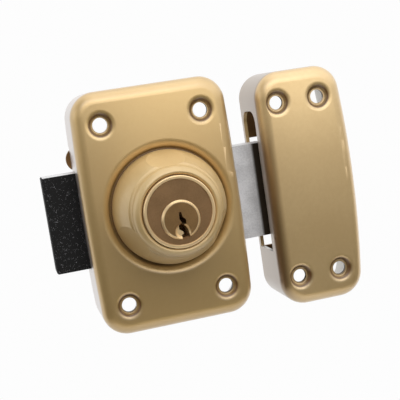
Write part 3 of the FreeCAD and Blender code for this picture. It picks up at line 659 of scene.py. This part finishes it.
def shell_lacquer(name, settings, base, walls, box, holes, side_shade_and_bright_mouth=None):
    """The lacquer outside a shell, thin and tinted by painted light on its walls, with painted shade in its
    dishes. Inside is bare sheet, with painted light near the rim.
    """
    dish_coat = 0.35
    bare_metal = 0.1
    finish = lacquered(name, settings, base, settings.lacquer_metal, settings.lacquer_roughness, box)
    outside = finish.source("Base Color")
    inside = finish.inside(middle(box))
    # Painted shade on the keeper's left side between two heights, where the case shades it.
    if side_shade_and_bright_mouth:
        outside = finish.graph.blend(left_side(finish, *side_shade_and_bright_mouth), outside, opaque(settings.side_painted_shade))
    # Painted shade in the screw dishes and round the knob's foot, with less metal and clear coat there.
    dish_shade_mask = finish.dish_shade_mask(*holes)
    outside = finish.graph.blend(dish_shade_mask, outside, opaque(settings.dish_painted_shade))
    metal = finish.graph.spread(dish_shade_mask, 0.0, 1.0, settings.lacquer_metal, 0.0)
    coat = finish.graph.spread(dish_shade_mask, 0.0, 1.0, settings.coat, dish_coat)
    # Side walls take a tone of thin lacquer with painted light: reflection on the case, shade on the keeper.
    wall = finish.graph.math("SUBTRACT", 1.0, finish.facing(FORWARD, limit=0.1))
    outside = finish.graph.blend(wall, outside, opaque(walls))
    # Inside: bare sheet deep in, blending to painted light near the open back.
    inside_with_painted_light = finish.graph.blend(
        inside["Near Rim"], opaque(settings.inside_dark), opaque(settings.inside_painted_light))
    finish.set(
        Base_Color=finish.graph.blend(inside["Mask"], outside, inside_with_painted_light),
        Metallic=finish.graph.spread(inside["Mask"], 0.0, 1.0, metal, bare_metal),
        Coat_Weight=finish.graph.spread(inside["Mask"], 0.0, 1.0, coat, 0.0))
    return finish.material


def knob_lacquer(name, settings):
    """The lacquer over a turned knob, with faint turning marks."""
    finish = lacquered(name, settings, settings.knob_lacquer, settings.knob_metal, settings.knob_roughness)
    turned = finish.rings(x=0.0, z=0.0, pitch=0.00025)
    finish.set(
        Coat_Weight=settings.knob_coat,
        Normal=finish.bump(turned["Height"], depth=0.000003, under=finish.source("Normal")))
    return finish.material


def plate_lacquer(name, settings):
    """Thin brown lacquer on flat sheet steel, with the rolling lines showing through."""
    finish = Finish(name)
    tone = deeper(settings.plate_lacquer, share=0.75)
    colour = finish.mottle(opaque(settings.plate_lacquer), tone, amount=0.6, scale=90.0)
    grain = finish.grain(roughness=0.42, wander=0.1, scale=1800.0, stretch=(1.0, 1.0, 0.08))
    finish.set(
        Base_Color=colour, Metallic=0.8, Roughness=grain["Roughness"],
        Normal=finish.bump(grain["Height"], depth=0.00001), Coat_Weight=0.15, Coat_Roughness=0.3)
    return finish.material


def brighten(finish, settings, dull, bright, grain, smoother):
    """Sets dull brass with bright, smoother brass where a mask says, over fine grain."""
    metal_dull, metal_bright = 0.9, 0.5
    smoothed = finish.graph.math("MULTIPLY", bright, -smoother)
    finish.set(
        Base_Color=finish.graph.blend(bright, dull, opaque(settings.bright_brass)),
        Metallic=finish.graph.spread(bright, 0.0, 1.0, metal_dull, metal_bright),
        Roughness=finish.graph.math("ADD", grain["Roughness"], smoothed),
        Normal=finish.bump(grain["Height"], depth=0.000008))


def cylinder_brass(name, settings):
    """Dulled turned brass with a bright rim round the face."""
    finish = Finish(name)
    centre = middle(CYLINDER_BOX)
    turned = finish.rings(centre.x, centre.z, pitch=0.00018)
    rim_radius = (CYLINDER_BOX[1].x - CYLINDER_BOX[0].x) / 2
    rim_width = 0.0012
    tone = deeper(settings.cylinder_brass, share=0.7)
    dull = finish.mottle(opaque(settings.cylinder_brass), tone, amount=0.7, scale=160.0)
    rim = finish.band(turned["Radius"], rim_radius - rim_width, FAR, softness=0.0003)
    grain = finish.grain(roughness=0.5, wander=0.12, scale=2400.0)
    brighten(finish, settings, dull, rim, grain, smoother=0.2)
    finish.set(Normal=finish.bump(turned["Height"], depth=0.000006, under=finish.source("Normal")))
    return finish.material


def plug_brass(name, settings):
    """Dulled brass with a bright chamfer and bright, smoother brass round the keyway's mouth."""
    finish = Finish(name)
    centre = middle(CAM_BOX)
    turned = finish.rings(centre.x, centre.z, pitch=0.00015)
    rim_radius = (PLUG_BOX[1].x - PLUG_BOX[0].x) / 2
    rim_width = 0.0009
    mouth_drop = 0.0037
    mouth_radius = 0.0027
    mouth = finish.rings(centre.x, centre.z - mouth_drop, pitch=0.0002)
    tone = deeper(settings.plug_brass, share=0.7)
    dull = finish.mottle(opaque(settings.plug_brass), tone, amount=0.7, scale=180.0)
    rim = finish.band(turned["Radius"], rim_radius - rim_width, FAR, softness=0.0002)
    # Brighter, smoother brass round the keyway's mouth.
    side_shade_and_bright_mouth = finish.band(mouth["Radius"], -FAR, mouth_radius, softness=0.0006)
    bright = finish.graph.math("MAXIMUM", rim, side_shade_and_bright_mouth)
    grain = finish.grain(roughness=0.46, wander=0.12, scale=2400.0)
    brighten(finish, settings, dull, bright, grain, smoother=0.18)
    finish.set(Normal=finish.bump(turned["Height"], depth=0.000005, under=finish.source("Normal")))
    return finish.material


def bolt_steel(name, settings):
    """Zinc plate, with a speckled black tail, bare on top, painted as a dark reflection, and painted shade
    on the front of the nose's tip, where the keeper shades it.
    """
    finish = Finish(name)
    graph = finish.graph
    plate_metal = 0.25
    black_rougher = 0.4
    along = graph.parts(finish.place)["X"]
    tail = finish.band(along, -FAR, settings.tail_reflection_end, softness=0.0004)
    tip = finish.band(along, settings.nose_shade_start, FAR, softness=0.0012)
    # Painted dark reflection on the tail's faces but its top, speckled with steel.
    black = graph.math("MULTIPLY", tail, graph.math("SUBTRACT", 1.0, finish.facing(UP)))
    # Painted shade on the front of the nose's tip, where the keeper shades it.
    dark = graph.math("MULTIPLY", tip, finish.facing(FORWARD))
    plate = finish.mottle(opaque(settings.zinc), deeper(settings.zinc, share=0.68), amount=0.9, scale=120.0)
    specks = finish.specks(scale=4200.0, size=0.3)
    speckled = graph.blend(specks, opaque(settings.tail_dark_reflection), opaque(settings.steel))
    tipped = graph.blend(dark, plate, opaque(settings.nose_painted_shade))
    grain = finish.grain(roughness=0.45, wander=0.14, scale=1600.0, stretch=(0.1, 1.0, 1.0))
    finish.set(
        Base_Color=graph.blend(black, tipped, speckled),
        Metallic=graph.spread(black, 0.0, 1.0, plate_metal, 0.0),
        Roughness=graph.math("ADD", grain["Roughness"], graph.math("MULTIPLY", black, black_rougher)),
        Normal=finish.bump(grain["Height"], depth=0.00002))
    return finish.material


def plain_metal(name, colour, roughness, scale, stretch=(1.0, 1.0, 1.0), metallic=0.95, marks=0.5):
    """Bare metal with its own mill or tool marks."""
    finish = Finish(name)
    mottled = finish.mottle(opaque(colour), deeper(colour, share=0.72), amount=marks, scale=140.0)
    grain = finish.grain(roughness, wander=0.15, scale=scale, stretch=stretch)
    finish.set(
        Base_Color=mottled, Metallic=metallic, Roughness=grain["Roughness"],
        Normal=finish.bump(grain["Height"], depth=0.000012))
    return finish.material


class DEADBOLT_OT_finish_shells(bpy.types.Operator):
    """Lacquer the case shell and the keeper shell"""

    bl_idname = "deadbolt.finish_shells"
    bl_label = "Case and keeper shells"

    def execute(self, context):
        settings = context.scene.deadbolt_finish
        case = shell_lacquer(
            "Housing Lacquer", settings, settings.lacquer, settings.case_wall_tone_and_reflection, CASE_BOX, CASE_HOLES)
        paint(["case_shell"], case)
        keeper = shell_lacquer(
            "Keeper Lacquer", settings, settings.keeper_lacquer, settings.keeper_wall_tone_and_shade, KEEPER_BOX,
            KEEPER_HOLES, KEEPER_SHADED)
        paint(["keeper_shell"], keeper)
        return {"FINISHED"}


class DEADBOLT_OT_finish_plates(bpy.types.Operator):
    """Lacquer the back plate and the keeper's strip"""

    bl_idname = "deadbolt.finish_plates"
    bl_label = "Plates"

    def execute(self, context):
        paint(["back_plate", "keeper_plate"], plate_lacquer("Plate Lacquer", context.scene.deadbolt_finish))
        return {"FINISHED"}


class DEADBOLT_OT_finish_knob(bpy.types.Operator):
    """Lacquer the knob"""

    bl_idname = "deadbolt.finish_knob"
    bl_label = "Knob"

    def execute(self, context):
        paint(["knob_shell"], knob_lacquer("Knob Lacquer", context.scene.deadbolt_finish))
        return {"FINISHED"}


class DEADBOLT_OT_finish_cylinder(bpy.types.Operator):
    """Give the cylinder, its plug and its pins their brass"""

    bl_idname = "deadbolt.finish_cylinder"
    bl_label = "Cylinder and plug"

    def execute(self, context):
        settings = context.scene.deadbolt_finish
        paint(["cylinder_body"], cylinder_brass("Cylinder Brass", settings))
        paint(["key_plug"], plug_brass("Plug Brass", settings))
        brass = plain_metal(
            "Pin Brass", settings.bright_brass, roughness=0.32, scale=2200.0, stretch=(1.0, 1.0, 0.1))
        paint(["key_pins", "driver_pins", "spring_cover_strip", "plug_cam"], brass)
        return {"FINISHED"}


class DEADBOLT_OT_finish_bolt(bpy.types.Operator):
    """Plate the bolt, paint a dark reflection on its tail and shade on its nose's tip"""

    bl_idname = "deadbolt.finish_bolt"
    bl_label = "Bolt"

    def execute(self, context):
        paint(["bolt_bar"], bolt_steel("Bolt Steel", context.scene.deadbolt_finish))
        return {"FINISHED"}


class DEADBOLT_OT_finish_works(bpy.types.Operator):
    """Finish the screws, posts, springs, pinion and hub"""

    bl_idname = "deadbolt.finish_works"
    bl_label = "Inner works"

    def execute(self, context):
        steel = context.scene.deadbolt_finish.steel
        plain = plain_metal("Plain Steel", steel, roughness=0.4, scale=1500.0, stretch=(1.0, 0.12, 1.0))
        paint(["bearing_plate", "drive_pinion", "guide_posts", "back_plate_pillars", "locking_bolt"], plain)
        screw = plain_metal("Screw Steel", steel, roughness=0.34, scale=2000.0, marks=0.3)
        paint(["back_plate_screws", "bearing_plate_screws", "hub_screws", "cam_screw"], screw)
        spring = plain_metal(
            "Spring Steel", deeper(steel, share=0.8), roughness=0.28, scale=1800.0, stretch=(0.1, 1.0, 1.0))
        paint(["brake_spring", "knob_circlip", "knob_washer", "pin_springs"], spring)
        cast = plain_metal("Cast Zinc", steel, roughness=0.52, scale=900.0, metallic=0.85)
        paint(["knob_hub"], cast)
        return {"FINISHED"}


class DEADBOLT_OT_pin_springs(bpy.types.Operator):
    """Wind the five pin springs as real coils in place of their plain solids"""

    bl_idname = "deadbolt.pin_springs"
    bl_label = "Pin springs"

    def execute(self, context):
        settings = context.scene.deadbolt_springs
        low, high = SPRING_BOX
        coil_radius = (high.x - low.x - settings.wire) / 2
        pin_pitch = (high.y - low.y - (high.x - low.x)) / (PINS - 1)
        bottom = low.z + settings.wire / 2
        top = high.z - settings.wire / 2
        curve = bpy.data.curves.new("pin_spring_coils", "CURVE")
        curve.dimensions = "3D"
        curve.bevel_depth = settings.wire / 2
        curve.bevel_resolution = 3
        curve.use_fill_caps = True
        for number in range(PINS):
            centre = Vector(((low.x + high.x) / 2, low.y + (high.x - low.x) / 2 + number * pin_pitch, 0))
            add_coil(curve, centre, coil_radius, bottom, top, settings.turns)
        springs = bpy.data.objects.new("pin_spring_coils", curve)
        context.scene.collection.objects.link(springs)
        curve.materials.append(bpy.data.materials["Spring Steel"])
        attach(springs, NODES["pin_springs"]["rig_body"])
        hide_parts("pin_springs")
        return {"FINISHED"}


def add_coil(curve, centre, radius, bottom, top, turns):
    """Adds one upright coil to a curve."""
    steps_a_turn = 16
    steps = turns * steps_a_turn
    spline = curve.splines.new("POLY")
    spline.points.add(steps)
    for step in range(steps + 1):
        angle = 2 * math.pi * step / steps_a_turn
        height = bottom + (top - bottom) * step / steps
        side = Vector((radius * math.cos(angle), radius * math.sin(angle), height))
        spline.points[step].co = (*(centre + side), 1.0)


class DEADBOLT_OT_stage(bpy.types.Operator):
    """Set the floor, the light and the camera"""

    bl_idname = "deadbolt.stage"
    bl_label = "Studio"

    def execute(self, context):
        settings = context.scene.deadbolt_studio
        make_world(context.scene, settings)
        make_floor(context.scene, settings)
        make_lamps(context.scene, settings)
        make_camera(context.scene, settings)
        context.scene.view_settings.view_transform = "Standard"
        return {"FINISHED"}


def seeing_rays(graph):
    """Masks for the camera's own rays, and for the rays that metal and glass send on."""
    rays = graph.add("ShaderNodeLightPath").outputs
    sent_on = graph.math("MAXIMUM", rays["Is Glossy Ray"], rays["Is Transmission Ray"])
    return rays["Is Camera Ray"], sent_on


def make_world(scene, settings):
    """A room in front and a pale backdrop. The camera sees all white, metal and glass do so behind."""
    world = bpy.data.worlds.new("Studio")
    world.use_nodes = True
    scene.world = world
    graph = Graph(world.node_tree)
    background = world.node_tree.nodes["Background"]
    graph.feed(background.inputs["Color"], opaque((1.0, 1.0, 1.0)))
    parts = graph.parts(graph.add("ShaderNodeTexCoord").outputs["Generated"])
    # How far a direction leans back, up or to the right where each part of the light begins and is full
    back_turn, back_rise = (0.0, 0.3), (-0.3, -0.05)
    room_turn, room_rise = (-0.7, 0.7), (-0.3, 0.5)
    behind = graph.spread(parts["Y"], *back_turn)
    backdrop = graph.spread(parts["Z"], *back_rise, settings.behind_low, settings.behind_high)
    side = graph.spread(parts["X"], *room_turn, settings.around_left, settings.around_right)
    room = graph.math("MULTIPLY", side, graph.spread(parts["Z"], *room_rise))
    level = graph.spread(behind, 0.0, 1.0, room, backdrop, smooth=False)
    camera_ray, sent_on = seeing_rays(graph)
    seen = graph.math("MAXIMUM", camera_ray, graph.math("MULTIPLY", sent_on, behind))
    strength = graph.spread(seen, 0.0, 1.0, level, settings.white, smooth=False)
    graph.feed(background.inputs["Strength"], strength)


def make_floor(scene, settings):
    """A round pale floor that the camera sees fade into the white around it."""
    rings = 24
    sides = 96
    vertices = [(0.0, 0.0, settings.floor_height)]
    faces = []
    for ring in range(1, rings + 1):
        radius = settings.floor_radius * ring / rings
        for side in range(sides):
            angle = 2 * math.pi * side / sides
            vertices.append((radius * math.cos(angle), radius * math.sin(angle), settings.floor_height))
    for side in range(sides):
        faces.append((0, 1 + side, 1 + (side + 1) % sides))
    for ring in range(1, rings):
        inner, outer = 1 + (ring - 1) * sides, 1 + ring * sides
        for side in range(sides):
            turn = (side + 1) % sides
            faces.append((inner + side, outer + side, outer + turn, inner + turn))
    mesh = bpy.data.meshes.new("floor")
    mesh.from_pydata(vertices, [], faces)
    floor = bpy.data.objects.new("floor", mesh)
    scene.collection.objects.link(floor)
    mesh.materials.append(floor_material(settings))


def floor_material(settings):
    """Pale where it is seen, and greyer where it only lights the object. Its edge fades into white."""
    fade_start, fade_end = 0.4, 0.95
    finish = Finish("Pale Floor")
    graph = finish.graph
    camera_ray, sent_on = seeing_rays(graph)
    pale = finish.mottle(opaque(settings.floor_pale), opaque(settings.floor_tone), amount=0.4, scale=12.0)
    seen = graph.math("MAXIMUM", camera_ray, sent_on)
    finish.set(
        Base_Color=graph.blend(seen, opaque(settings.floor_unseen), pale),
        Roughness=finish.grain(roughness=0.8, wander=0.1, scale=300.0)["Roughness"])
    parts = graph.parts(finish.place)
    share_out = graph.math("DIVIDE", graph.reach(parts["X"], parts["Y"]), settings.floor_radius)
    far = graph.spread(share_out, fade_start, fade_end)
    white = graph.add("ShaderNodeEmission", {"Strength": settings.white})
    mix = graph.add("ShaderNodeMixShader")
    graph.feed(mix.inputs[0], graph.math("MULTIPLY", far, camera_ray))
    graph.feed(mix.inputs[1], finish.shader.outputs["BSDF"])
    graph.feed(mix.inputs[2], white.outputs["Emission"])
    output = finish.material.node_tree.nodes["Material Output"]
    graph.feed(output.inputs["Surface"], mix.outputs["Shader"])
    return finish.material


def make_lamps(scene, settings):
    add_softbox(
        scene, "front_softbox", settings.front_power, azimuth=20.0, elevation=17.0,
        distance=1.1, size=(0.75, 0.4))
    add_softbox(
        scene, "high_softbox", settings.high_power, azimuth=-8.0, elevation=43.0,
        distance=1.1, size=(1.1, 0.5))
    add_softbox(
        scene, "top_softbox", settings.top_power, azimuth=0.0, elevation=84.0,
        distance=1.0, size=(0.8, 0.8))
    add_softbox(
        scene, "left_softbox", settings.left_power, azimuth=-84.0, elevation=18.0,
        distance=1.1, size=(0.5, 0.6))


def add_softbox(scene, name, power, azimuth, elevation, distance, size):
    """A lamp aimed at the object from an azimuth off the front and an elevation, both in degrees."""
    aim = middle(CAD_BOX)
    side, height = math.radians(azimuth), math.radians(elevation)
    direction = Vector((
        math.cos(height) * math.sin(side), -math.cos(height) * math.cos(side), math.sin(height)))
    light = bpy.data.lights.new(name, "AREA")
    light.shape = "RECTANGLE"
    light.size, light.size_y = size
    light.energy = power
    lamp = bpy.data.objects.new(name, light)
    lamp.location = aim + distance * direction
    lamp.rotation_euler = (-direction).to_track_quat("-Z", "Y").to_euler()
    lamp.visible_camera = False
    scene.collection.objects.link(lamp)


def make_camera(scene, settings):
    data = bpy.data.cameras.new("photo_camera")
    data.lens = settings.lens
    data.sensor_width = 36.0
    data.clip_start = 0.01
    data.clip_end = 20.0
    camera = bpy.data.objects.new("photo_camera", data)
    camera.location = settings.camera_place
    camera.rotation_euler = settings.camera_turn
    scene.collection.objects.link(camera)
    scene.camera = camera


class DEADBOLT_PT_panel(bpy.types.Panel):
    """Lists the pieces of the deadbolt and its studio"""

    bl_idname = "DEADBOLT_PT_panel"
    bl_label = "Deadbolt"
    bl_space_type = "VIEW_3D"
    bl_region_type = "UI"
    bl_category = "Deadbolt"

    def draw(self, context):
        for operator in OPERATORS:
            self.layout.operator(operator.bl_idname)
        for place, settings in SETTINGS:
            box = self.layout.box()
            for name in settings.__annotations__:
                box.prop(getattr(context.scene, place), name)


OPERATORS = (
    DEADBOLT_OT_finish_shells,
    DEADBOLT_OT_finish_plates,
    DEADBOLT_OT_finish_knob,
    DEADBOLT_OT_finish_cylinder,
    DEADBOLT_OT_finish_bolt,
    DEADBOLT_OT_finish_works,
    DEADBOLT_OT_pin_springs,
    DEADBOLT_OT_stage,
)
SETTINGS = (
    ("deadbolt_finish", FinishSettings),
    ("deadbolt_springs", SpringSettings),
    ("deadbolt_studio", StudioSettings),
)


def register():
    for name, settings in SETTINGS:
        bpy.utils.register_class(settings)
        setattr(bpy.types.Scene, name, PointerProperty(type=settings))
    for made in (*OPERATORS, DEADBOLT_PT_panel):
        bpy.utils.register_class(made)


def unregister():
    for made in (DEADBOLT_PT_panel, *OPERATORS):
        bpy.utils.unregister_class(made)
    for name, settings in SETTINGS:
        delattr(bpy.types.Scene, name)
        bpy.utils.unregister_class(settings)


def main():
    register()
    bpy.ops.deadbolt.finish_shells()
    bpy.ops.deadbolt.finish_plates()
    bpy.ops.deadbolt.finish_knob()
    bpy.ops.deadbolt.finish_cylinder()
    bpy.ops.deadbolt.finish_bolt()
    bpy.ops.deadbolt.finish_works()
    bpy.ops.deadbolt.pin_springs()
    bpy.ops.deadbolt.stage()


if __name__ == "__main__":
    main()
